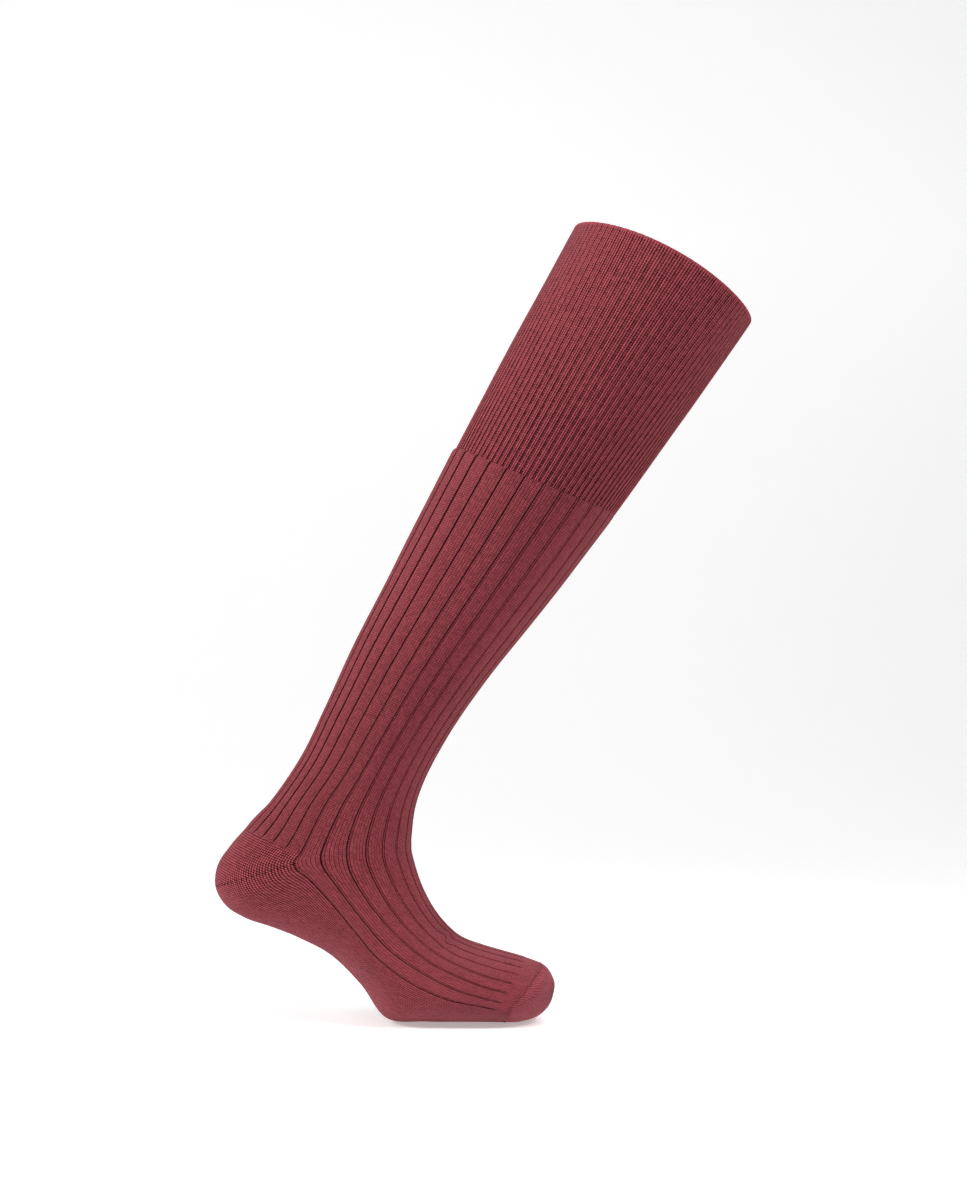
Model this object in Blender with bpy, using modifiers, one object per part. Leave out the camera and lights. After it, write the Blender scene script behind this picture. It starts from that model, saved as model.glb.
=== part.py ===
"""A long ribbed wool sock, in the shape that it takes on a leg that leans over a foot on its toes.

Metres, +Z up, +X towards the toe, the same on both sides of the XZ plane. The origin is the
middle of the opening at the top of the cuff. The knitted wall is drawn as one smooth skin over a
row of cross-sections, from the opening to the tip of the toe. Each knitted zone is a panel cut
from that skin, with its ribs pressed in and its wall grown inwards.
"""

import math
from collections import namedtuple

import bmesh
import bpy
import numpy as np
from mathutils import Vector

# Foot: heel to toe tip along the floor, floor to the bend of the ankle, and widths
FOOT_REACH = 0.2305
BEND_HEIGHT = 0.1234
FOOT_WIDTH = 0.088
HEEL_WIDTH = 0.066

# Leg and cuff: lengths along the leg, its lean in degrees, depths back to front, widths across
LEG_LENGTH = 0.2566
LEG_LEAN = 31.0
ANKLE_DEPTH = 0.0855
ANKLE_WIDTH = 0.062
CALF_DEPTH = 0.1175
CALF_WIDTH = 0.106
CUFF_LENGTH = 0.1664
OPENING_DEPTH = 0.1357
OPENING_WIDTH = 0.120

# The edge of the opening rises at its sides, and the lower edge of the cuff dips there
RIM_CROWN = 0.005
BORDER_DIP = 0.004

# Knitted wall, its ribs, the linked seam round the toes, and the gap between zones
WALL = 0.0016
RIB_COUNT = 28
GROOVE_DEPTH = 0.0007
GROOVE_SHARE = 0.24
CUFF_RIB_COUNT = 84
CUFF_RIB_DEPTH = 0.0006
CUFF_GRIP = 0.0008
SEAM_WIDTH = 0.0018
SEAM_RISE = 0.0003
GAP = 0.0004

# The instep gives way to the sole at this groove, counted from the front of the leg. The widest
# line turns sharply at the corner of the heel, and the ribs ahead of it turn over a longer way.
SOLE_GROOVE = 7
TURN_EASE = 0.045
TURN_RIBS = 2.2

# Where the leg's axis starts, as shares of FOOT_REACH and BEND_HEIGHT
ANKLE_SHARES = (0.370, 1.176)

# Rows of the cuff and leg, from the top down. along is a share of the piece's length, offset a
# share of CALF_DEPTH towards the front, depth and width are shares of the way from the piece's
# smaller size to its larger, wide is where the section is widest, from back to front, tilt is in
# degrees, and flat squares off the back half.
TubeRow = namedtuple("TubeRow", "along offset depth width wide tilt flat")
CUFF_ROWS = (
    TubeRow(1.000, 0.015, 1.00, 1.00, 0.50, 2.3, 0.00),
    TubeRow(0.509, 0.007, 0.55, 0.52, 0.50, 5.2, 0.00),
)
LEG_ROWS = (
    TubeRow(1.000, -0.005, 1.00, 1.00, 0.51, 8.2, 0.00),
    TubeRow(0.824, -0.011, 0.80, 0.88, 0.51, 10.6, 0.00),
    TubeRow(0.634, -0.020, 0.54, 0.68, 0.50, 14.0, 0.00),
    TubeRow(0.439, -0.033, 0.25, 0.46, 0.50, 16.6, 0.00),
    TubeRow(0.255, -0.025, 0.02, 0.23, 0.49, 19.1, 0.02),
    TubeRow(0.106, -0.004, 0.04, 0.08, 0.47, 23.3, 0.05),
    TubeRow(0.011, 0.005, 0.38, 0.00, 0.45, 28.6, 0.10),
)

# Rows of the foot, from the ankle to the tip. Each section is bent at its widest point, its side.
# x is a share of FOOT_REACH from the back of the heel, z a share of BEND_HEIGHT from the floor,
# and width a share of HEEL_WIDTH in the heel rows and of FOOT_WIDTH in the others.
FootRow = namedtuple("FootRow", "front_x front_z side_x side_z back_x back_z width flat")
HEEL_ROWS = (
    FootRow(0.578, 1.011, 0.284, 0.908, 0.090, 1.055, 0.97, 0.18),
    FootRow(0.577, 0.994, 0.283, 0.905, 0.046, 0.961, 0.98, 0.24),
    FootRow(0.577, 0.978, 0.282, 0.902, 0.008, 0.851, 1.00, 0.28),
    FootRow(0.577, 0.961, 0.282, 0.898, 0.001, 0.741, 1.00, 0.30),
    FootRow(0.577, 0.939, 0.283, 0.887, 0.032, 0.631, 1.00, 0.30),
    FootRow(0.579, 0.917, 0.288, 0.873, 0.087, 0.565, 1.00, 0.30),
)
SOLE_ROWS = (
    FootRow(0.584, 0.879, 0.299, 0.851, 0.162, 0.516, 0.75, 0.28),
    FootRow(0.607, 0.747, 0.362, 0.710, 0.253, 0.449, 0.77, 0.26),
    FootRow(0.640, 0.625, 0.423, 0.561, 0.341, 0.362, 0.82, 0.26),
    FootRow(0.683, 0.521, 0.497, 0.401, 0.430, 0.200, 0.91, 0.26),
    FootRow(0.730, 0.449, 0.596, 0.280, 0.506, 0.014, 0.98, 0.26),
    FootRow(0.793, 0.405, 0.692, 0.187, 0.618, 0.000, 1.00, 0.26),
    FootRow(0.860, 0.370, 0.781, 0.141, 0.727, 0.000, 0.95, 0.26),
    FootRow(0.918, 0.340, 0.825, 0.117, 0.803, 0.000, 0.89, 0.25),
)
TOE_ROWS = (
    FootRow(0.958, 0.313, 0.862, 0.098, 0.848, 0.000, 0.84, 0.24),
    FootRow(0.980, 0.284, 0.916, 0.117, 0.902, 0.002, 0.77, 0.20),
    FootRow(0.994, 0.242, 0.956, 0.139, 0.957, 0.035, 0.60, 0.12),
    FootRow(1.000, 0.208, 0.985, 0.161, 0.988, 0.100, 0.38, 0.06),
    FootRow(1.000, 0.178, 1.000, 0.178, 1.000, 0.178, 0.00, 0.00),
)

# Numbers of the rows where zones begin or end, counted from the opening
BORDER_ROW = len(CUFF_ROWS)
HEEL_TOP_ROW = BORDER_ROW + len(LEG_ROWS)
GORE_ROW = HEEL_TOP_ROW + 3
RIB_END_ROW = HEEL_TOP_ROW + len(HEEL_ROWS) + len(SOLE_ROWS) - 1
SEAM_ROW = RIB_END_ROW + 1
TIP_ROW = RIB_END_ROW + len(TOE_ROWS)

# The foot bends most between these two rows, over the ball
BALL_ROWS = (HEEL_TOP_ROW + 8, HEEL_TOP_ROW + 11)

# The eased line is the mean of these steps, from one end of its reach to the other
EASE_STEPS = np.linspace(-1, 1, 9)

# Facets across the sole and the heel
SOLE_FACETS = 14

# The facets beside the gore are narrow, as are those beside the seam, so that the walls on
# both sides stand square to the skin there
GORE_EDGE = 0.1

COLLECTION = "ribbed_wool_sock"
YARN_ROUGHNESS = 0.9
YARN_COLOURS = {
    "cuff": (0.19, 0.045, 0.052),
    "leg": (0.21, 0.048, 0.056),
    "instep": (0.21, 0.048, 0.056),
    "heel_cup": (0.23, 0.052, 0.062),
    "sole": (0.23, 0.054, 0.064),
    "toe_seam": (0.16, 0.036, 0.043),
    "toe_cap": (0.26, 0.066, 0.076),
}


def tube_section(row, start, length, depths, widths, bows):
    """Turns a cuff or leg row into front, side and back points, half width, flat and bow."""
    lean = math.radians(LEG_LEAN)
    up = np.array([math.sin(lean), math.cos(lean)])
    out = np.array([math.cos(lean), -math.sin(lean)])
    ankle = np.array(ANKLE_SHARES) * [FOOT_REACH, BEND_HEIGHT]
    middle = ankle + up * (start + row.along * length) + out * row.offset * CALF_DEPTH
    tilt = math.radians(row.tilt)
    depth = np.interp(row.depth, (0, 1), depths)
    chord = (out * math.cos(tilt) + up * math.sin(tilt)) * depth
    back = middle - chord / 2
    half_width = np.interp(row.width, (0, 1), widths) / 2
    bow = np.interp(row.along, (0, 1), bows)
    return [*(back + chord), *(back + chord * row.wide), *back, half_width, row.flat, bow]


def foot_section(row, width):
    """Turns a foot row into the same form. Foot sections have no bow."""
    points = (row.front_x, row.front_z, row.side_x, row.side_z, row.back_x, row.back_z)
    sizes = (FOOT_REACH, BEND_HEIGHT) * 3
    return [*np.multiply(points, sizes), row.width * width / 2, row.flat, 0.0]


def all_sections():
    """Lists the sections of the whole sock, from the opening to the tip of the toe."""
    depths = (ANKLE_DEPTH, CALF_DEPTH, OPENING_DEPTH)
    widths = (ANKLE_WIDTH, CALF_WIDTH, OPENING_WIDTH)
    rows = []
    for row in CUFF_ROWS:
        bows = (-BORDER_DIP, RIM_CROWN)
        rows.append(tube_section(row, LEG_LENGTH, CUFF_LENGTH, depths[1:], widths[1:], bows))
    for row in LEG_ROWS:
        rows.append(tube_section(row, 0, LEG_LENGTH, depths[:2], widths[:2], (0, -BORDER_DIP)))
    rows += [foot_section(row, HEEL_WIDTH) for row in HEEL_ROWS]
    rows += [foot_section(row, FOOT_WIDTH) for row in SOLE_ROWS + TOE_ROWS]
    return np.array(rows)


class Skin:
    """The smooth outer surface, by its walk down the sock and its angle round from the front."""

    def __init__(self, sections):
        self.sections = sections
        steps = np.diff(sections[:, :6], axis=0).reshape(-1, 3, 2)
        lengths = np.linalg.norm(steps, axis=2).mean(axis=1)
        self.walks = np.concatenate(([0], np.cumsum(lengths)))
        rates = np.diff(sections, axis=0) / lengths[:, None]
        before, after = lengths[:-1, None], lengths[1:, None]
        inner = (after * rates[:-1] + before * rates[1:]) / (before + after)
        first = 1.5 * rates[0] - 0.5 * inner[0]
        last = 1.5 * rates[-1] - 0.5 * inner[-1]
        self.slopes = np.vstack((first, inner, last))

    def section(self, walk):
        """Gives the section at a walk, on a smooth curve through the rows."""
        row = int(np.clip(np.searchsorted(self.walks, walk) - 1, 0, len(self.walks) - 2))
        length = self.walks[row + 1] - self.walks[row]
        t = (walk - self.walks[row]) / length
        ends = self.sections[row:row + 2]
        slopes = self.slopes[row:row + 2] * length
        curve = (2 * t**3 - 3 * t**2 + 1) * ends[0] + (3 * t**2 - 2 * t**3) * ends[1]
        return curve + (t**3 - 2 * t**2 + t) * slopes[0] + (t**3 - t**2) * slopes[1]

    def side(self, walk, angle):
        """Gives the widest point of a section, on a line that is eased ahead of the sole."""
        side = self.section(walk)[2:4]
        ribs_round = abs(math.remainder(angle, math.tau)) * RIB_COUNT / math.tau
        share = np.clip((SOLE_GROOVE + 0.5 - ribs_round) / TURN_RIBS, 0, 1)
        ease = max(0, min(TURN_EASE, walk, self.walks[SEAM_ROW] - walk))
        if share * ease == 0:
            return side
        eased = np.mean([self.section(walk + ease * step)[2:4] for step in EASE_STEPS], axis=0)
        return side + (eased - side) * share**2 * (3 - 2 * share)

    def point(self, walk, angle):
        """Gives the point of the skin at a walk and an angle in radians."""
        section = self.section(walk)
        front, side, back = section[0:2], self.side(walk, angle), section[4:6]
        half_width, flat, bow = section[6:9]
        cosine, sine = math.cos(angle), math.sin(angle)
        reach = front - side if cosine > 0 else side - back
        squared = 1 if cosine > 0 else 1 + flat * cosine**2
        chord = front - back
        length = np.linalg.norm(chord)
        along = np.array([-chord[1], chord[0]]) / length if length else np.zeros(2)
        place = side + reach * cosine + along * bow * sine**2
        return Vector((place[0], half_width * sine * squared, place[1]))

    def shifted(self, walk, angle, shift):
        """Gives the point a true distance further down the skin from a walk."""
        step = WALL
        travel = self.point(walk + step, angle) - self.point(walk, angle)
        return self.point(walk, angle) + travel.normalized() * shift

    def stations(self, first_row, last_row, parts=1):
        """Lists the walks from one row to another, with each stretch cut into equal parts."""
        walks = [self.walks[first_row]]
        for row in range(first_row, last_row):
            walks += list(np.linspace(self.walks[row], self.walks[row + 1], parts + 1)[1:])
        return walks

    def foot_stations(self, first_row):
        """Lists the walks from a row to the toe seam, twice as close over the ball of the foot."""
        start, end = BALL_ROWS
        over_ball = self.stations(start, end, 2)
        return self.stations(first_row, start)[:-1] + over_ball + self.stations(end, SEAM_ROW)[1:]


def even_angles(first, last, parts):
    """Spaces angles evenly, both ends included."""
    return list(np.linspace(first, last, parts + 1))


def groove_angle(number):
    """Gives the angle of a groove of the leg, counted round from the front."""
    return (number + 0.5) * math.tau / RIB_COUNT


def leg_angles():
    """Gives each groove of the leg three columns: its two shoulders and its bottom between."""
    half_groove = GROOVE_SHARE * math.tau / RIB_COUNT / 2
    steps = (-half_groove, 0, half_groove)
    return [groove_angle(number) + step for number in range(RIB_COUNT) for step in steps]


def instep_angles():
    """Picks the columns of the leg that go on over the instep, from one sole edge to the other."""
    sole_angle = groove_angle(SOLE_GROOVE)
    ahead = [angle for angle in leg_angles() if math.cos(angle) > math.cos(sole_angle) - GAP]
    return sorted((angle + math.pi) % math.tau - math.pi for angle in ahead)


def sole_angles():
    """Spaces the columns of the sole and the heel evenly between the edges of the instep."""
    sole_angle = groove_angle(SOLE_GROOVE)
    return even_angles(sole_angle, math.tau - sole_angle, SOLE_FACETS)


def make_grid(skin, stations, angles, closed):
    """Lofts quads through the stations, each a walk and a shift, and gives the mesh and rows."""
    grid = bmesh.new()
    rows = []
    for walk, shift in stations:
        places = [skin.shifted(walk, angle, shift) for angle in angles]
        if skin.section(walk)[6] < GAP and shift == 0:
            tip = grid.verts.new(places[0])
            rows.append([tip] * len(angles))
        else:
            rows.append([grid.verts.new(place) for place in places])
    columns = len(angles) if closed else len(angles) - 1
    for above, below in zip(rows, rows[1:]):
        for column in range(columns):
            other = (column + 1) % len(angles)
            corners = (above[column], below[column], below[other], above[other])
            grid.faces.new(list(dict.fromkeys(corners)))
    return grid, rows


def trim_edges(grid, distance):
    """Draws the open edges of a panel back into it, square to each edge."""
    grid.normal_update()
    inward_of = {}
    for edge in grid.edges:
        if not edge.is_boundary:
            continue
        face = edge.link_faces[0]
        start, end = edge.verts
        inward = face.normal.cross(end.co - start.co).normalized()
        if inward.dot(face.calc_center_median() - start.co) < 0:
            inward.negate()
        for vert in edge.verts:
            inward_of.setdefault(vert, []).append(inward)
    for vert, (one, other) in inward_of.items():
        vert.co += (one + other) * distance / (1 + one.dot(other))


def make_panel(name, skin, stations, angles, relief, closed=False):
    """Makes one knitted zone: a trimmed grid, raised or sunk by its relief, with a wall inside."""
    grid, rows = make_grid(skin, stations, angles, closed)
    trim_edges(grid, GAP / 2)
    grid.normal_update()
    for (walk, shift), row in zip(stations, rows):
        for angle, vert in zip(angles, row):
            vert.co += vert.normal * relief(walk, shift, angle)

    mesh = bpy.data.meshes.new(name)
    grid.to_mesh(mesh)
    grid.free()
    mesh.shade_smooth()
    piece = bpy.data.objects.new(name, mesh)
    wall = piece.modifiers.new("knitted_wall", "SOLIDIFY")
    wall.thickness = WALL
    wall.offset = -1
    wall.use_rim = True
    mesh.materials.append(yarn(name))
    return piece


def yarn(name):
    """Makes the yarn of one zone."""
    material = bpy.data.materials.new(name + "_yarn")
    material.use_nodes = True
    shader = material.node_tree.nodes["Principled BSDF"]
    shader.inputs["Base Color"].default_value = (*YARN_COLOURS[name], 1)
    shader.inputs["Roughness"].default_value = YARN_ROUGHNESS
    shader.inputs["Metallic"].default_value = 0
    return material


def plain(walk, shift, angle):
    """The relief of plain knitting: none."""
    return 0


def make_cuff(skin):
    """The band of 1x1 rib, every second column sunk, drawn in where it grips the leg."""
    angles = even_angles(0, math.tau, 2 * CUFF_RIB_COUNT)[:-1]
    border = skin.walks[BORDER_ROW]

    def ribbed(walk, shift, angle):
        sunk = round(angle / math.tau * 2 * CUFF_RIB_COUNT) % 2
        return -sunk * CUFF_RIB_DEPTH - CUFF_GRIP * walk / border

    stations = [(walk, 0) for walk in skin.stations(0, BORDER_ROW)]
    stations[0] = (0, -GAP / 2)
    return make_panel("cuff", skin, stations, angles, ribbed, closed=True)


def make_leg_and_instep(skin):
    """The wide-rib leg, and the half of it that goes on over the foot to the plain band."""

    def grooved(walk, shift, angle):
        from_groove = abs(angle * RIB_COUNT / math.tau % 1 - 0.5)
        in_groove = from_groove < GROOVE_SHARE / 4 and walk <= skin.walks[RIB_END_ROW]
        return -GROOVE_DEPTH if in_groove else 0

    leg = [(walk, 0) for walk in skin.stations(BORDER_ROW, HEEL_TOP_ROW)]
    instep = [(walk, 0) for walk in skin.foot_stations(HEEL_TOP_ROW)]
    instep.insert(-1, (skin.walks[SEAM_ROW], -SEAM_WIDTH))
    return [
        make_panel("leg", skin, leg, leg_angles(), grooved, closed=True),
        make_panel("instep", skin, instep, instep_angles(), grooved),
    ]


def make_heel_and_sole(skin):
    """The two halves of the turned heel. The lower one runs on as the sole, up to the toes."""
    angles = sole_angles()
    gore = skin.walks[GORE_ROW]
    above = np.interp(GORE_EDGE, (0, 1), (gore, skin.walks[GORE_ROW - 1]))
    below = np.interp(GORE_EDGE, (0, 1), (gore, skin.walks[GORE_ROW + 1]))
    cup = [(walk, 0) for walk in sorted(skin.stations(HEEL_TOP_ROW, GORE_ROW) + [above])]
    sole = [(walk, 0) for walk in sorted(skin.foot_stations(GORE_ROW) + [below])]
    sole.insert(-1, (skin.walks[SEAM_ROW], -SEAM_WIDTH))
    return [
        make_panel("heel_cup", skin, cup, angles, plain),
        make_panel("sole", skin, sole, angles, plain),
    ]


def make_toe(skin):
    """The linked seam, a little proud of the knitting, and the closed pocket beyond it."""
    angles = instep_angles() + sole_angles()[1:-1]
    seam_walk = skin.walks[SEAM_ROW]

    def crest(walk, shift, angle):
        return SEAM_RISE if shift == SEAM_WIDTH / 2 else 0

    seam = [(seam_walk, 0), (seam_walk, SEAM_WIDTH / 2), (seam_walk, SEAM_WIDTH)]
    cap = [(seam_walk, SEAM_WIDTH)]
    cap += [(walk, 0) for walk in skin.stations(SEAM_ROW, TIP_ROW)[1:]]
    return [
        make_panel("toe_seam", skin, seam, angles, crest, closed=True),
        make_panel("toe_cap", skin, cap, angles, plain, closed=True),
    ]


def main():
    for old in list(bpy.data.objects):
        bpy.data.objects.remove(old, do_unlink=True)
    collection = bpy.data.collections.new(COLLECTION)
    bpy.context.scene.collection.children.link(collection)

    skin = Skin(all_sections())
    opening = (skin.sections[0][0:2] + skin.sections[0][4:6]) / 2
    heel_point = bpy.data.objects.new("heel_on_floor", None)
    heel_point.location = (-opening[0], 0, -opening[1])
    collection.objects.link(heel_point)
    pieces = [make_cuff(skin), *make_leg_and_instep(skin), *make_heel_and_sole(skin), *make_toe(skin)]
    for piece in pieces:
        collection.objects.link(piece)
        piece.parent = heel_point


main()
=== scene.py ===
import math

import bmesh
import bpy
import numpy as np
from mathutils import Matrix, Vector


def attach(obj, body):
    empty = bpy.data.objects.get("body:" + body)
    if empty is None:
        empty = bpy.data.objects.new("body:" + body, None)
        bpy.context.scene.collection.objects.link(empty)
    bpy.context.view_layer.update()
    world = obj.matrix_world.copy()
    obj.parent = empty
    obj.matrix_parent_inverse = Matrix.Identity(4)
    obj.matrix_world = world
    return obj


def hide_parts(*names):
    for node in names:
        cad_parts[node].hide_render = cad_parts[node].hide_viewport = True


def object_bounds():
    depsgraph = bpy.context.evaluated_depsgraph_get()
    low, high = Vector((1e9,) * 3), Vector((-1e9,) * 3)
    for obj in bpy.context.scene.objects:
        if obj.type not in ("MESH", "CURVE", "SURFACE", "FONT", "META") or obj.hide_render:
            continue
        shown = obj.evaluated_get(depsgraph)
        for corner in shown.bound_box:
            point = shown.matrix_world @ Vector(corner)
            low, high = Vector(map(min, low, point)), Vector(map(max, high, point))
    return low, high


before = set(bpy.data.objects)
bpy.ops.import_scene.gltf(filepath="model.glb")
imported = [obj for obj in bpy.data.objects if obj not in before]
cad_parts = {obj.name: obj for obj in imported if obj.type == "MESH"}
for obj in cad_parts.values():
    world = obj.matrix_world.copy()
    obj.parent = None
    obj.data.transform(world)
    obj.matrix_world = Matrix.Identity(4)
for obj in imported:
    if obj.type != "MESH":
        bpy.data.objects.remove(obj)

cad_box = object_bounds()

# The studio: a level camera at the height of the shin, square to the side of the sock, a pale
# floor that sweeps up into a backdrop behind it, and soft lights, strongest from the calf side,
# with two small ones for the toe. The floor lies just under the ball of the foot.
CAMERA_DISTANCE = 1.45
CAMERA_LENS = 64.0
CAMERA_SENSOR = 36.0
CAMERA_PLACE = (-0.1224, -0.2816)
CAMERA_SHIFT = 0.0735
FLOOR_CLEARANCE = 0.0005
FLOOR_HALF_WIDTH = 4.0
FLOOR_NEAR = -4.0
SWEEP_START = 1.2
SWEEP_RADIUS = 1.0
SWEEP_STEPS = 12
WALL_TOP = 3.0
STAGE_WHITE = 0.88
STAGE_GLOW = 0.36
WORLD_LIGHT = 0.22

camera = bpy.data.objects.new("camera", bpy.data.cameras.new("camera"))
bpy.context.scene.collection.objects.link(camera)
camera.location = (CAMERA_PLACE[0], -CAMERA_DISTANCE, CAMERA_PLACE[1])
camera.rotation_euler = (math.radians(90), 0, 0)
camera.data.lens = CAMERA_LENS
camera.data.sensor_fit = "VERTICAL"
camera.data.sensor_height = CAMERA_SENSOR
camera.data.shift_y = CAMERA_SHIFT
bpy.context.scene.camera = camera
bpy.context.scene.view_settings.view_transform = "Standard"


class Wire:
    """A shader socket that can stand in plain sums, such as 1 - mask, and can make more nodes."""

    def __init__(self, tree, socket=None):
        self.tree = tree
        self.socket = socket

    def node(self, kind, settings, inputs, output=0):
        """Adds a node: its settings come first, then the values or links of its sockets."""
        made = self.tree.nodes.new(kind)
        for name, value in settings.items():
            setattr(made, name, value)
        for name, value in inputs.items():
            if isinstance(value, Wire):
                self.tree.links.new(value.socket, made.inputs[name])
            else:
                made.inputs[name].default_value = value
        return Wire(self.tree, made.outputs[output])

    def math(self, operation, *terms):
        return self.node("ShaderNodeMath", {"operation": operation}, dict(enumerate(terms)))

    def __add__(self, other):
        return self.math("ADD", self, other)

    def __radd__(self, other):
        return self.math("ADD", other, self)

    def __sub__(self, other):
        return self.math("SUBTRACT", self, other)

    def __rsub__(self, other):
        return self.math("SUBTRACT", other, self)

    def __mul__(self, other):
        return self.math("MULTIPLY", self, other)

    def __rmul__(self, other):
        return self.math("MULTIPLY", other, self)

    def __pow__(self, other):
        return self.math("POWER", self, other)

    def __abs__(self):
        return self.math("ABSOLUTE", self)

    def below(self, limit):
        return self.math("LESS_THAN", self, limit)

    def blend(self, low, high):
        """Mixes two colours by this value."""
        settings = {"data_type": "RGBA"}
        return self.node("ShaderNodeMix", settings, {0: self, 6: low, 7: high}, output=2)

    def ramp(self, low, high, start, end):
        """Maps this value from one range to another, held at both ends."""
        inputs = {0: self, 1: low, 2: high, 3: start, 4: end}
        return self.node("ShaderNodeMapRange", {"clamp": True}, inputs)


def new_material(name):
    """Starts a material and gives it with its shader and a wire on its node tree."""
    material = bpy.data.materials.new(name)
    material.use_nodes = True
    tree = material.node_tree
    return material, tree.nodes["Principled BSDF"], Wire(tree)


def sweep_profile():
    """Gives the floor's edge, the turn of the sweep and the top of the wall, as y and z."""
    floor = cad_box[0][2] - FLOOR_CLEARANCE
    profile = [(FLOOR_NEAR, floor)]
    for step in range(SWEEP_STEPS + 1):
        turn = math.radians(90) * step / SWEEP_STEPS
        profile.append((SWEEP_START + SWEEP_RADIUS * math.sin(turn),
                        floor + SWEEP_RADIUS * (1 - math.cos(turn))))
    return profile + [(SWEEP_START + SWEEP_RADIUS, floor + WALL_TOP)]


sweep = bmesh.new()
edge = [[sweep.verts.new((side, y, z)) for y, z in sweep_profile()]
        for side in (-FLOOR_HALF_WIDTH, FLOOR_HALF_WIDTH)]
for step in range(len(edge[0]) - 1):
    sweep.faces.new((edge[0][step], edge[1][step], edge[1][step + 1], edge[0][step + 1]))
stage_mesh = bpy.data.meshes.new("studio_sweep")
sweep.to_mesh(stage_mesh)
sweep.free()
stage_mesh.shade_smooth()
stage_material, stage_shader, _ = new_material("pale_sweep")
stage_shader.inputs["Base Color"].default_value = (STAGE_WHITE, STAGE_WHITE, STAGE_WHITE, 1)
stage_shader.inputs["Roughness"].default_value = 0.9
stage_shader.inputs["Emission Color"].default_value = (1, 1, 1, 1)
stage_shader.inputs["Emission Strength"].default_value = STAGE_GLOW
stage_mesh.materials.append(stage_material)
stage = bpy.data.objects.new("studio_sweep", stage_mesh)
bpy.context.scene.collection.objects.link(stage)

world = bpy.data.worlds.new("studio")
world.use_nodes = True
world.node_tree.nodes["Background"].inputs["Color"].default_value = (1, 1, 1, 1)
world.node_tree.nodes["Background"].inputs["Strength"].default_value = WORLD_LIGHT
bpy.context.scene.world = world


def soft_light(name, place, target, size, power, spread=180):
    """Hangs a square soft box that faces a target."""
    light = bpy.data.objects.new(name, bpy.data.lights.new(name, "AREA"))
    light.data.size = size
    light.data.energy = power
    light.data.spread = math.radians(spread)
    light.location = place
    aim = Vector(target) - Vector(place)
    light.rotation_euler = aim.to_track_quat("-Z", "Y").to_euler()
    bpy.context.scene.collection.objects.link(light)


LEG_MIDDLE = (-0.15, 0.0, -0.22)
TOE_PLACE = (-0.09, 0.0, -0.47)
soft_light("key_calf_side", (-2.0, -0.65, 0.8), LEG_MIDDLE, 0.9, 38.0)
soft_light("fill_front", (0.2, -2.2, 0.2), LEG_MIDDLE, 1.6, 1.0)
soft_light("edge_shin_side", (1.4, 0.6, -0.1), LEG_MIDDLE, 0.7, 1.2)
soft_light("over_toe", (0.35, -0.3, 0.9), TOE_PLACE, 0.4, 7.0)
soft_light("toe_beam", (0.2, -0.35, -0.1), TOE_PLACE, 0.12, 0.08, 36)

# The cuff: a long band of 1x1 rib knitted first, every knit wale standing between two purl ones.
# It grips below the knee, so it is drawn in a little against the leg, and its top edge is a
# rounded lip. The worn form of the whole sock is set down here, because the cuff starts it.
FOOT_REACH = 0.2305
BEND_HEIGHT = 0.1234
FOOT_WIDTH = 0.088
HEEL_WIDTH = 0.066
LEG_LENGTH = 0.2566
LEG_LEAN = 31.0
ANKLE_DEPTH = 0.0855
ANKLE_WIDTH = 0.062
CALF_DEPTH = 0.1175
CALF_WIDTH = 0.106
CUFF_LENGTH = 0.1664
OPENING_DEPTH = 0.1357
OPENING_WIDTH = 0.120
RIM_CROWN = 0.005
BORDER_DIP = 0.004
RIBS = 28
SOLE_GROOVE = 7
TURN_EASE = 0.045
TURN_RIBS = 2.2
FAN_TURN = 0.11
JOG_WALK = 0.567
JOG_ANGLE = 0.47
JOG_TURN = 0.20
JOG_REACH = 0.006
JOG_SPREAD = 0.20
ANKLE_SHARES = (0.370, 1.176)
WALL = 0.0016
WALES = 168
COURSE_HEIGHT = 0.0015
STITCH_RISE = 0.0006
FUZZ_SCALE = 900.0
CLOUD_SCALE = 16.0
RIM_HIGHLIGHT_COURSES = 1.3
INNER_STEP = 4

# along, offset, depth, width, widest place, tilt and flatness of each section of cuff and leg
CUFF_ROWS = (
    (1.000, 0.015, 1.00, 1.00, 0.50, 2.3, 0.00),
    (0.509, 0.007, 0.55, 0.52, 0.50, 5.2, 0.00),
)
LEG_ROWS = (
    (1.000, -0.005, 1.00, 1.00, 0.51, 8.2, 0.00),
    (0.824, -0.011, 0.80, 0.88, 0.51, 10.6, 0.00),
    (0.634, -0.020, 0.54, 0.68, 0.50, 14.0, 0.00),
    (0.439, -0.033, 0.25, 0.46, 0.50, 16.6, 0.00),
    (0.255, -0.025, 0.02, 0.23, 0.49, 19.1, 0.02),
    (0.106, -0.004, 0.04, 0.08, 0.47, 23.3, 0.05),
    (0.011, 0.005, 0.38, 0.00, 0.45, 28.6, 0.10),
)

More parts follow.
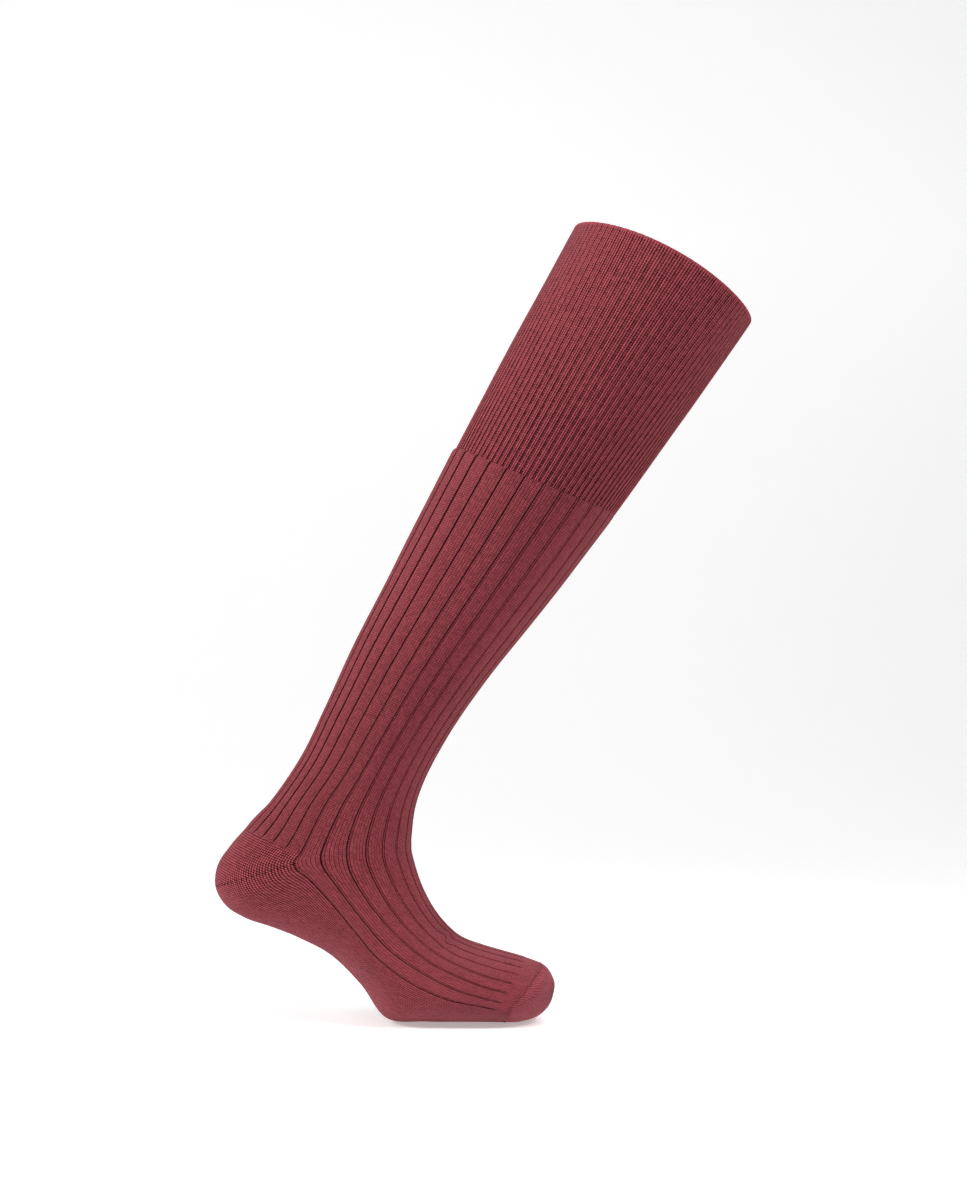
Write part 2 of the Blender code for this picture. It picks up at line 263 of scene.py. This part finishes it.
# front x and z, side x and z, back x and z, width and flatness of each section of the foot
HEEL_ROWS = (
    (0.578, 1.011, 0.284, 0.908, 0.090, 1.055, 0.97, 0.18),
    (0.577, 0.994, 0.283, 0.905, 0.046, 0.961, 0.98, 0.24),
    (0.577, 0.978, 0.282, 0.902, 0.008, 0.851, 1.00, 0.28),
    (0.577, 0.961, 0.282, 0.898, 0.001, 0.741, 1.00, 0.30),
    (0.577, 0.939, 0.283, 0.887, 0.032, 0.631, 1.00, 0.30),
    (0.579, 0.917, 0.288, 0.873, 0.087, 0.565, 1.00, 0.30),
)
SOLE_ROWS = (
    (0.584, 0.879, 0.299, 0.851, 0.162, 0.516, 0.75, 0.28),
    (0.607, 0.747, 0.362, 0.710, 0.253, 0.449, 0.77, 0.26),
    (0.640, 0.625, 0.423, 0.561, 0.341, 0.362, 0.82, 0.26),
    (0.683, 0.521, 0.497, 0.401, 0.430, 0.200, 0.91, 0.26),
    (0.730, 0.449, 0.596, 0.280, 0.506, 0.014, 0.98, 0.26),
    (0.793, 0.405, 0.692, 0.187, 0.618, 0.000, 1.00, 0.26),
    (0.860, 0.370, 0.781, 0.141, 0.727, 0.000, 0.95, 0.26),
    (0.918, 0.340, 0.825, 0.117, 0.803, 0.000, 0.89, 0.25),
)
TOE_ROWS = (
    (0.958, 0.313, 0.862, 0.098, 0.848, 0.000, 0.84, 0.24),
    (0.980, 0.284, 0.916, 0.117, 0.902, 0.002, 0.77, 0.20),
    (0.994, 0.242, 0.956, 0.139, 0.957, 0.035, 0.60, 0.12),
    (1.000, 0.208, 0.985, 0.161, 0.988, 0.100, 0.38, 0.06),
    (1.000, 0.178, 1.000, 0.178, 1.000, 0.178, 0.00, 0.00),
)
BORDER_ROW = len(CUFF_ROWS)
HEEL_TOP_ROW = BORDER_ROW + len(LEG_ROWS)
GORE_ROW = HEEL_TOP_ROW + 3
RIB_END_ROW = HEEL_TOP_ROW + len(HEEL_ROWS) + len(SOLE_ROWS) - 1
SEAM_ROW = RIB_END_ROW + 1


def tube_section(row, start, length, depths, widths, bows):
    """Turns a cuff or leg row into front, side and back points, half width, flat and bow."""
    along, offset, depth, width, wide, tilt, flat = row
    lean = math.radians(LEG_LEAN)
    up = np.array([math.sin(lean), math.cos(lean)])
    out = np.array([math.cos(lean), -math.sin(lean)])
    ankle = np.array(ANKLE_SHARES) * [FOOT_REACH, BEND_HEIGHT]
    middle = ankle + up * (start + along * length) + out * offset * CALF_DEPTH
    tilt = math.radians(tilt)
    chord = (out * math.cos(tilt) + up * math.sin(tilt)) * np.interp(depth, (0, 1), depths)
    back = middle - chord / 2
    half_width = np.interp(width, (0, 1), widths) / 2
    bow = np.interp(along, (0, 1), bows)
    return [*(back + chord), *(back + chord * wide), *back, half_width, flat, bow]


def foot_section(row, width):
    """Turns a foot row into the same form."""
    return [*np.multiply(row[:6], (FOOT_REACH, BEND_HEIGHT) * 3), row[6] * width / 2, row[7], 0.0]


depths = (ANKLE_DEPTH, CALF_DEPTH, OPENING_DEPTH)
widths = (ANKLE_WIDTH, CALF_WIDTH, OPENING_WIDTH)
cuff_bows = (-BORDER_DIP, RIM_CROWN)
rows = [tube_section(row, LEG_LENGTH, CUFF_LENGTH, depths[1:], widths[1:], cuff_bows)
        for row in CUFF_ROWS]
rows += [tube_section(row, 0, LEG_LENGTH, depths[:2], widths[:2], (0, -BORDER_DIP))
         for row in LEG_ROWS]
rows += [foot_section(row, HEEL_WIDTH) for row in HEEL_ROWS]
rows += [foot_section(row, FOOT_WIDTH) for row in SOLE_ROWS + TOE_ROWS]
sections = np.array(rows)
opening = (sections[0, 0:2] + sections[0, 4:6]) / 2

# walks measure the way down the sock, and slopes steer the smooth curve through the sections
step_lengths = np.linalg.norm(np.diff(sections[:, :6], axis=0).reshape(-1, 3, 2), axis=2).mean(axis=1)
row_walks = np.concatenate(([0], np.cumsum(step_lengths)))
rates = np.diff(sections, axis=0) / step_lengths[:, None]
before, after = step_lengths[:-1, None], step_lengths[1:, None]
inner_slopes = (after * rates[:-1] + before * rates[1:]) / (before + after)
slopes = np.vstack((1.5 * rates[0] - 0.5 * inner_slopes[0], inner_slopes,
                    1.5 * rates[-1] - 0.5 * inner_slopes[-1]))
BORDER, HEEL_TOP, GORE, SEAM, TIP = row_walks[[BORDER_ROW, HEEL_TOP_ROW, GORE_ROW, SEAM_ROW, -1]]


def sections_at(walks):
    """Gives the sections at some walks, on a smooth curve through the rows."""
    row = np.clip(np.searchsorted(row_walks, walks) - 1, 0, len(row_walks) - 2)
    length = (row_walks[row + 1] - row_walks[row])[..., None]
    t = (walks - row_walks[row])[..., None] / length
    curve = (2 * t**3 - 3 * t**2 + 1) * sections[row] + (3 * t**2 - 2 * t**3) * sections[row + 1]
    return curve + ((t**3 - 2 * t**2 + t) * slopes[row] + (t**3 - t**2) * slopes[row + 1]) * length


# The widest line turns sharply at the corner of the heel, and the ribs ahead turn over a longer way
table_walks = np.linspace(0, TIP, 1500)
ease = np.clip(np.minimum(table_walks, SEAM - table_walks), 0, TURN_EASE)
eased_sides = np.mean([sections_at(table_walks + ease * step)[:, 2:4] for step in np.linspace(-1, 1, 9)],
                      axis=0)


def skin(walks, angles):
    """Places points of the smooth outer surface by walks down the sock and angles round it.

    The wales fan out a little towards the opening, and two ribs jog where the ankle bends in front.
    """
    walks, angles = np.broadcast_arrays(walks, angles)
    angles = angles - FAN_TURN * np.clip(1 - walks / BORDER, 0, 1) ** 2 * np.sin(2 * angles)
    down = (walks - JOG_WALK) / JOG_REACH
    aside = (np.abs(angles) - JOG_ANGLE) / JOG_SPREAD
    angles = angles + JOG_TURN * np.sign(angles) * down * np.exp(-(down**2) - aside**2)
    section = sections_at(walks)
    front, side, back = section[..., 0:2], section[..., 2:4], section[..., 4:6]
    ribs_round = np.abs((angles + math.pi) % math.tau - math.pi) * RIBS / math.tau
    share = np.clip((SOLE_GROOVE + 0.5 - ribs_round) / TURN_RIBS, 0, 1)[..., None]
    eased = np.stack([np.interp(walks, table_walks, line) for line in eased_sides.T], axis=-1)
    side = side + (eased - side) * share**2 * (3 - 2 * share)
    half_width, flat, bow = section[..., 6], section[..., 7], section[..., 8]
    cosine, sine = np.cos(angles), np.sin(angles)
    ahead = cosine > 0
    reach = np.where(ahead[..., None], front - side, side - back)
    chord = front - back
    size = np.maximum(np.linalg.norm(chord, axis=-1), 1e-9)
    along = np.stack((-chord[..., 1], chord[..., 0]), axis=-1) / size[..., None]
    place = side + reach * cosine[..., None] + along * (bow * sine**2)[..., None] - opening
    y = half_width * sine * np.where(ahead, 1, 1 + flat * cosine**2)
    return np.stack((place[..., 0], y, place[..., 1]), axis=-1)


def travel(walks, angles):
    """Gives how far, and which way, a point of the skin moves for each unit of walk."""
    step = 0.0002
    return (skin(walks + step, angles) - skin(walks - step, angles)) / (2 * step)


def skin_normals(walks, angles):
    """Gives the directions that point straight out of the skin."""
    turn = 0.002
    safe = np.minimum(walks, TIP - WALL / 4)
    round_it = skin(safe, angles + turn) - skin(safe, angles - turn)
    normals = np.cross(travel(safe, angles), round_it)
    return normals / np.linalg.norm(normals, axis=-1, keepdims=True)


def walk_after(walk, angles, distance):
    """Gives the walks that lie a true distance past a walk, for each angle."""
    return walk + distance / np.linalg.norm(travel(walk, angles), axis=-1)


# Courses are counted down every wale from the opening, so that stitches keep their height
count_walks = np.linspace(0, TIP, 700)
count_angles = np.linspace(-math.pi, math.pi, 169)
column_steps = np.linalg.norm(np.diff(skin(count_walks[:, None], count_angles), axis=0), axis=2)
course_table = np.vstack((np.zeros(len(count_angles)), np.cumsum(column_steps, axis=0))) / COURSE_HEIGHT


def courses(walks, angles):
    """Gives the number of courses from the opening down to each point."""
    walks, angles = np.broadcast_arrays(walks, angles)
    down = np.clip(walks / TIP, 0, 0.99999) * (len(count_walks) - 1)
    turned = (angles + math.pi) % math.tau / math.tau * (len(count_angles) - 1)
    i, j = down.astype(int), np.minimum(turned.astype(int), len(count_angles) - 2)
    u, v = down - i, turned - j
    top = course_table[i, j] * (1 - v) + course_table[i, j + 1] * v
    low = course_table[i + 1, j] * (1 - v) + course_table[i + 1, j + 1] * v
    return top * (1 - u) + low * u


def unevenness(walks, angles):
    """The slow waves of soft wool, under half a millimetre and the same on every zone."""
    waves = ((3, 31, 0.4, 0.16), (5, 57, 1.9, 0.10), (8, 83, 4.2, 0.06), (2, 113, 2.7, 0.05))
    total = 0
    for turns, beats, phase, height in waves:
        total = total + height * np.sin(turns * angles + phase) * np.cos(beats * walks + 2 * phase)
    return 0.001 * total


def knit_panel(name, walks, angles, relief, closed, tipped=False):
    """Knits one zone: a grid with relief outside, a coarser grid inside, and rims that join them."""
    walks, angles = np.broadcast_arrays(walks, angles)
    normals = skin_normals(walks, angles)
    smooth = skin(walks, angles)
    # Each relief gives its height and the painted shade that darkens its grooves, dips and eyelets.
    height, painted_shade = relief(walks, angles)
    outer = smooth + normals * (height + unevenness(walks, angles))[..., None]
    kept = sorted({*range(0, len(walks), INNER_STEP), len(walks) - 1})
    inner = (smooth - normals * WALL)[kept]
    if tipped:
        outer[-1], inner[-1] = outer[-1].mean(axis=0), inner[-1].mean(axis=0)
    count = walks.shape[1]
    marks = np.stack((angles / math.tau * WALES, courses(walks, angles)), axis=-1)
    places = np.concatenate((outer.reshape(-1, 3), inner.reshape(-1, 3)))
    marks = np.concatenate((marks.reshape(-1, 2), marks[kept].reshape(-1, 2)))
    painted_shades = np.concatenate((painted_shade.ravel(), np.zeros(len(kept) * count)))

    columns = np.arange(count if closed else count - 1)
    ring = (columns + 1) % count
    start = len(outer) * count
    faces = []
    for first, rows_of_grid in ((0, len(outer)), (start, len(kept))):
        base = first + np.arange(rows_of_grid - 1)[:, None] * count
        corners = [base + columns, base + columns + count, base + ring + count, base + ring]
        if first:
            corners.reverse()
        faces.append(np.stack(corners, axis=-1).reshape(-1, 4))
    faces.append(np.stack((columns, ring, start + ring, start + columns), axis=-1))
    if not tipped:
        last_out, last_in = start - count, start + (len(kept) - 1) * count
        rim = (last_out + ring, last_out + columns, last_in + columns, last_in + ring)
        faces.append(np.stack(rim, axis=-1))
    polygons = np.concatenate(faces).tolist()
    if not closed:
        for column in (0, count - 1):
            for piece, (top, low) in enumerate(zip(kept, kept[1:])):
                side = [row * count + column for row in range(top, low + 1)]
                side += [start + (piece + 1) * count + column, start + piece * count + column]
                polygons.append(side if column else side[::-1])
    mesh = bpy.data.meshes.new(name)
    mesh.from_pydata(places.tolist(), [], polygons)
    owners = np.empty(len(mesh.loops), int)
    mesh.loops.foreach_get("vertex_index", owners)
    marks = marks[owners]
    if closed:
        wales = marks[:, 0].reshape(-1, 4)
        wales[wales < wales.max(axis=1, keepdims=True) - WALES / 2] += WALES
    mesh.uv_layers.new(name="knit").data.foreach_set("uv", marks.ravel())
    # The painted shade is kept on the points, for the wool's colour to darken by.
    mesh.attributes.new("painted_shade", "FLOAT", "POINT").data.foreach_set("value", painted_shades)
    if tipped:
        grid = bmesh.new()
        grid.from_mesh(mesh)
        bmesh.ops.remove_doubles(grid, verts=grid.verts, dist=WALL / 1000)
        grid.to_mesh(mesh)
        grid.free()
    mesh.shade_smooth()
    mesh.set_sharp_from_angle(angle=math.radians(70))
    piece = bpy.data.objects.new(name, mesh)
    bpy.context.scene.collection.objects.link(piece)
    return piece


def knit_wool(name, light, dark, purl_every=0, purl_shift=0, purl_shade=0.0, squeeze=0.0, pitch=1.0,
              crowd=1.0, limbs=0.3, slant=0.6, beat=0.7, depth=1.0, rim=0.0):
    """Wool in knit stitches, with every so many wales a purl one, laid out by wale and course."""
    material, shader, wire = new_material(name)
    marks = wire.node("ShaderNodeUVMap", {"uv_map": "knit"}, {})
    wale = marks.node("ShaderNodeSeparateXYZ", {}, {0: marks}, output=0)
    course = marks.node("ShaderNodeSeparateXYZ", {}, {0: marks}, output=1)
    stitch_row = course * pitch
    if squeeze:
        wale = wale - squeeze * wale.math("SINE", wale * math.pi)
    wale = wale * crowd + (0.5 + purl_shift)
    cell = wale.math("FLOOR", wale)
    out_from_middle = abs(wale - cell - 0.5)
    limb = wale.math("MAXIMUM", 1 - (4 * out_from_middle - 1) ** 2, 0.0)
    hump = 1 - (2 * out_from_middle) ** 2
    slanted = stitch_row + out_from_middle * slant
    along = wale.math("SINE", wale.math("FRACT", slanted) * math.pi)
    knit = (hump + limbs * (limb - hump)) * (1 - beat + beat * along)
    bar = wale.math("SINE", wale.math("FRACT", stitch_row) * math.pi)
    purl = (1 - beat + beat * bar) * hump
    height = knit
    if purl_every:
        is_purl = wale.math("FLOORED_MODULO", cell, float(purl_every)).below(0.5)
        height = knit + (purl - knit) * is_purl
    place = wire.node("ShaderNodeTexCoord", {}, {}, output=3)
    fuzz = wire.node("ShaderNodeTexNoise", {}, {"Vector": place, "Scale": FUZZ_SCALE, "Detail": 3.0})
    cloud = wire.node("ShaderNodeTexNoise", {}, {"Vector": place, "Scale": CLOUD_SCALE, "Detail": 3.0})
    loop_place = wire.node("ShaderNodeCombineXYZ", {}, {0: cell, 1: wale.math("FLOOR", slanted)})
    chance = wire.node("ShaderNodeTexWhiteNoise", {"noise_dimensions": "2D"}, {"Vector": loop_place})
    painted_shade = wire.node("ShaderNodeAttribute", {"attribute_name": "painted_shade"}, {}, output=2)
    # The tone is partly painted shade: darker between the loops by their height, in grooves by the painted
    # shade on the points, and on purl wales by purl_shade. Chance, fuzz and cloud are the yarn's own uneven
    # tone; depth sets how strong the loop shade, chance and fuzz are.
    tone = 0.42 + depth * (1.3 * (height - 0.45) + 0.25 * (chance - 0.5) + 0.6 * (fuzz - 0.5))
    tone = tone + 0.12 * (cloud - 0.5) - 0.45 * painted_shade
    if purl_every:
        tone = tone - purl_shade * is_purl
    # rim paints a highlight: lighter wool along the first courses under the opening.
    if rim:
        tone = tone + rim * course.below(RIM_HIGHLIGHT_COURSES)
    colour = tone.ramp(0.0, 1.3, 0.0, 1.3).blend((*dark, 1), (*light, 1))
    wire.tree.links.new(colour.socket, shader.inputs["Base Color"])
    raised = height + 0.4 * (fuzz - 0.5)
    normal = wire.node("ShaderNodeBump", {}, {"Strength": 0.8, "Distance": STITCH_RISE, "Height": raised})
    wire.tree.links.new(normal.socket, shader.inputs["Normal"])
    shader.inputs["Roughness"].default_value = 0.9
    shader.inputs["Specular IOR Level"].default_value = 0.15
    shader.inputs["Sheen Weight"].default_value = 0.2
    shader.inputs["Sheen Roughness"].default_value = 0.4
    shader.inputs["Sheen Tint"].default_value = (1.0, 0.42, 0.5, 1)
    return material


def finish_piece(piece, node, material):
    """Gives a knitted zone its wool, and has it stand for its solid."""
    piece.data.materials.append(material)
    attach(piece, "root")
    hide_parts(node)


CUFF_RIBS = 84
CUFF_RIB_DEPTH = 0.0013
CUFF_LOFT = 0.0003
CUFF_GRIP = 0.0009
CUFF_CREST_POWER = 0.7
CUFF_RIB_STEPS = 6
CUFF_MESH_ROWS = 90
# The wool's tone runs from WOOL_LIGHT down to WOOL_DARK, near black, which the painted shade between loops
# and in grooves reaches.
WOOL_LIGHT = (0.455, 0.080, 0.098)
WOOL_DARK = (0.030, 0.002, 0.003)


def cuff_relief(walks, angles):
    """Round knit wales with sharp valleys between, flatter near the opening, and a rolled lip; also painted
    shade in the valleys, stronger lower down.
    """
    crest = np.abs(np.cos(angles * CUFF_RIBS / 2)) ** CUFF_CREST_POWER
    down = walks / BORDER
    grip = CUFF_GRIP * down**2 * (1 - 0.7 * np.cos(angles / 2) ** 2)
    depth = CUFF_RIB_DEPTH * (0.4 + 0.6 * down)
    lip = np.clip(1 - walks / WALL, 0, 1)
    rolled = 0.5 * WALL * (1 - np.sqrt(1 - lip**2))
    return CUFF_LOFT - depth * (1 - crest) - grip - rolled, (1 - crest) ** 2 * (0.5 + 0.7 * down)


cuff_angles = np.arange(CUFF_RIBS * CUFF_RIB_STEPS) / (CUFF_RIBS * CUFF_RIB_STEPS) * math.tau
lip_walks = WALL * (1 - np.cos(np.linspace(0, math.pi / 2, 5)))
cuff_walks = np.concatenate((lip_walks[:-1], np.linspace(lip_walks[-1], BORDER, CUFF_MESH_ROWS)))
cuff = knit_panel("ribbed_cuff", cuff_walks[:, None], cuff_angles, cuff_relief, True)
# The cuff's wool paints shade on its sunk purl wales and a highlight along its top courses.
cuff_wool = knit_wool("cuff_wool", WOOL_LIGHT, WOOL_DARK, 2, 1, purl_shade=0.1, squeeze=0.096, pitch=0.88,
                      limbs=1.0, beat=0.45, depth=1.3, rim=0.4)
finish_piece(cuff, "cuff", cuff_wool)

# The leg: wide ribs of five knit wales with one purl wale sunk between them, knitted on from the
# cuff and swelling a little below it. Behind, the ribs stop where the heel is turned, and in
# front they run on over the foot.
CREVICE_DEPTH = 0.0009
CREVICE_PLACE = 0.35
CREVICE_REACH = 0.35
PURL_DEPTH = 0.0005
PURL_REACH = 0.85
RIB_SWELL = 0.0003
RIB_FADE = 0.0020
BORDER_SINK = 0.0005
BORDER_SWELL = 0.0006
SWELL_REACH = 0.03
SINK_REACH = 0.0012
LEG_MESH_ROWS = 112
HALF_RIB_WALES = (0, 0.16, 0.34, 0.5, 0.68, 0.95, 1.5, 2.2)
sole_angle = (SOLE_GROOVE + 0.5) * math.tau / RIBS


def bump(distances, reach):
    """A smooth hump that is one in the middle and nothing past its reach."""
    near = np.clip(1 - np.abs(distances) / reach, 0, 1)
    return near**2 * (3 - 2 * near)


def ribbing(angles):
    """Gives the relief of the wide ribs, a shallow purl wale and a crevice behind it, and their painted
    shade.
    """
    wales_round = np.abs((angles + math.pi) % math.tau - math.pi) * WALES / math.tau
    rib_wales = WALES / RIBS
    behind_purl = wales_round % rib_wales - rib_wales / 2
    crevice = bump(behind_purl - CREVICE_PLACE, CREVICE_REACH)
    purl = bump(behind_purl, PURL_REACH)
    swell = 1 - (2 * np.abs(behind_purl) / rib_wales - 1) ** 2
    relief = RIB_SWELL * swell - CREVICE_DEPTH * crevice - PURL_DEPTH * purl
    front = 0.5 + 0.5 * np.cos(angles)
    # Painted shade: the crevice darkened all round, more towards the front, where the purl wale is darkened
    # too.
    return relief, np.clip(crevice * (0.7 + 0.8 * front) + 0.5 * purl * front, 0, 1.6)


def leg_relief(walks, angles):
    """Ribs all the way, but behind they fade just above the heel."""
    # sunk is the painted shade of the ribs' grooves.
    ribs, sunk = ribbing(angles)
    behind = np.cos(angles) < math.cos(sole_angle) - 1e-6
    pace = np.linalg.norm(travel(walks, angles), axis=-1)
    fade = np.where(behind, np.clip((HEEL_TOP - walks) * pace / RIB_FADE, 0, 1), 1)
    below = (walks - BORDER) * pace
    swell = BORDER_SWELL * np.sin(angles / 2) ** 2
    edge = swell * np.exp(-below / SWELL_REACH) - (swell + BORDER_SINK) * np.exp(-below / SINK_REACH)
    return ribs * fade + edge, sunk * fade


rib_offsets = sorted({*HALF_RIB_WALES, *(-wales for wales in HALF_RIB_WALES), 3})
leg_angles = np.array([(rib + 0.5 + wales * RIBS / WALES) * math.tau / RIBS
                       for rib in range(RIBS) for wales in rib_offsets])
border_walks = BORDER + np.array([0, 0.0005, 0.001, 0.0016, 0.0024, 0.0035])
leg_walks = np.concatenate((border_walks[:-1], np.linspace(border_walks[-1], HEEL_TOP, LEG_MESH_ROWS)))
leg = knit_panel("ribbed_leg", leg_walks[:, None], leg_angles, leg_relief, True)
rib_wool = knit_wool("rib_wool", WOOL_LIGHT, WOOL_DARK, 6, -3, limbs=0.6, beat=0.55, depth=0.8)
finish_piece(leg, "leg", rib_wool)

# The instep: the front ribs of the leg go on over the foot without a break, and stop in a
# stepped line before a narrow plain band at the toe seam.
PLAIN_BAND = 0.008
INSTEP_MESH_ROWS = 150
instep_angles = (leg_angles + math.pi) % math.tau - math.pi
instep_angles = np.sort(instep_angles[np.abs(instep_angles) < sole_angle + 1e-6])


def instep_relief(walks, angles):
    """Ribs that stop where the plain band starts."""
    pace = np.linalg.norm(travel(walks, angles), axis=-1)
    left = (walk_after(SEAM, angles, -PLAIN_BAND) - walks) * pace
    shown = np.clip(left / RIB_FADE, 0, 1)
    # sunk is the painted shade of the ribs' grooves.
    ribs, sunk = ribbing(angles)
    return ribs * shown, sunk * shown


instep_walks = np.linspace(HEEL_TOP, SEAM, INSTEP_MESH_ROWS)
instep = knit_panel("ribbed_instep", instep_walks[:, None], instep_angles, instep_relief, False)
finish_piece(instep, "instep", rib_wool)

# The heel: a plain-knit pocket turned in short rows. Its upper half starts where the back ribs
# stop, and the two halves meet on a slanting line of small eyelets, the gore.
HEEL_MESH_ROWS = 56
EYELET_WALES = 2
EYELET_RADIUS = 0.0008
EYELET_DEPTH = 0.0009
SOLE_COLUMNS = 236
half_groove = np.array(HALF_RIB_WALES[:6]) * math.tau / WALES
bare_from = sole_angle + 1.3 * math.tau / WALES
sole_angles = np.concatenate((sole_angle + half_groove,
                              np.linspace(bare_from, math.tau - bare_from, SOLE_COLUMNS),
                              (math.tau - sole_angle - half_groove)[::-1]))
gore_steps = np.array([0, 0.0003, 0.0006, 0.0010, 0.0015, 0.0022])


def plain_relief(walks, angles):
    """Plain knitting, sunk at the groove that borders the sole and at the eyelets of the gore, with painted
    shade in both.
    """
    wales_past = (np.abs((angles + math.pi) % math.tau - math.pi) - sole_angle) * WALES / math.tau
    shown = np.clip((SEAM - walks) / PLAIN_BAND - 1, 0, 1)
    crevice = bump(wales_past - CREVICE_PLACE, CREVICE_REACH) * shown
    sunk = CREVICE_DEPTH * crevice + PURL_DEPTH * bump(wales_past, PURL_REACH) * shown
    away = (walks - GORE) * np.linalg.norm(travel(walks, angles), axis=-1) / EYELET_RADIUS
    eyelet = np.exp(-away**2) * (0.5 + 0.5 * np.cos(angles * WALES / EYELET_WALES)) ** 2
    return -sunk - EYELET_DEPTH * eyelet, crevice + 1.2 * eyelet


heel_walks = np.concatenate((np.linspace(HEEL_TOP, GORE - 0.0030, HEEL_MESH_ROWS), GORE - gore_steps[::-1]))
heel_cup = knit_panel("heel_cup_knit", heel_walks[:, None], sole_angles, plain_relief, False)
plain_wool = knit_wool("plain_wool", WOOL_LIGHT, WOOL_DARK, pitch=0.9, crowd=1.1, slant=0.1, limbs=0.1,
                       beat=0.8, depth=1.6)
finish_piece(heel_cup, "heel_cup", plain_wool)

# The sole: the lower half of the heel and the plain underside of the foot, in one with it.
SOLE_MESH_ROWS = 140
sole_walks = np.concatenate((GORE + gore_steps, np.linspace(GORE + 0.0030, SEAM, SOLE_MESH_ROWS)))
sole = knit_panel("plain_sole", sole_walks[:, None], sole_angles, plain_relief, False)
finish_piece(sole, "sole", plain_wool)

# The toe: a closed plain pocket, joined to the foot by a narrow linked seam that slants round it.
SEAM_WIDTH = 0.0018
SEAM_RISE = 0.0004
SEAM_SINK = 0.0003
DIP_REACH = 0.0005
DIP_SHADE = 0.8
SEAM_SHARES = (0, 0.08, 0.18, 0.32, 0.5, 0.68, 0.82, 0.92, 1)
TOE_MESH_ROWS = 64
TOE_LIGHT = (0.43, 0.083, 0.103)
toe_angles = np.concatenate((instep_angles, sole_angles[1:-1]))
seam_end = walk_after(SEAM, toe_angles, SEAM_WIDTH)


def seam_relief(walks, angles):
    """A low ridge of linked loops, with a sharp dip along both its sides, and painted shade in the dips."""
    share = np.clip((walks - SEAM) / (walk_after(SEAM, angles, SEAM_WIDTH) - SEAM), 0, 1)
    dip = np.exp(-share / 0.12) + np.exp(-(1 - share) / 0.12)
    return SEAM_RISE * np.sin(math.pi * share) - SEAM_SINK * dip, DIP_SHADE * dip


def toe_relief(walks, angles):
    """Plain knitting that rises out of the dip beside the seam, with painted shade in the dip."""
    away = (walks - walk_after(SEAM, angles, SEAM_WIDTH)) * np.linalg.norm(travel(walks, angles), axis=-1)
    dip = np.exp(-np.maximum(away, 0) / DIP_REACH)
    return -SEAM_SINK * dip, DIP_SHADE * dip


seam = knit_panel("linked_toe_seam", SEAM + np.array(SEAM_SHARES)[:, None] * (seam_end - SEAM), toe_angles,
                  seam_relief, True)
seam_wool = knit_wool("seam_wool", WOOL_LIGHT, WOOL_DARK)
finish_piece(seam, "toe_seam", seam_wool)

toe_shares = np.concatenate(([0, 0.008, 0.018, 0.03], np.linspace(0.045, 1, TOE_MESH_ROWS)))[:, None]
toe = knit_panel("toe_pocket", seam_end + toe_shares * (TIP - seam_end), toe_angles, toe_relief, True, True)
toe_wool = knit_wool("toe_wool", TOE_LIGHT, WOOL_DARK, pitch=0.95, crowd=0.75, slant=0.2,
                     limbs=0.1, beat=0.5, depth=1.8)
finish_piece(toe, "toe_cap", toe_wool)
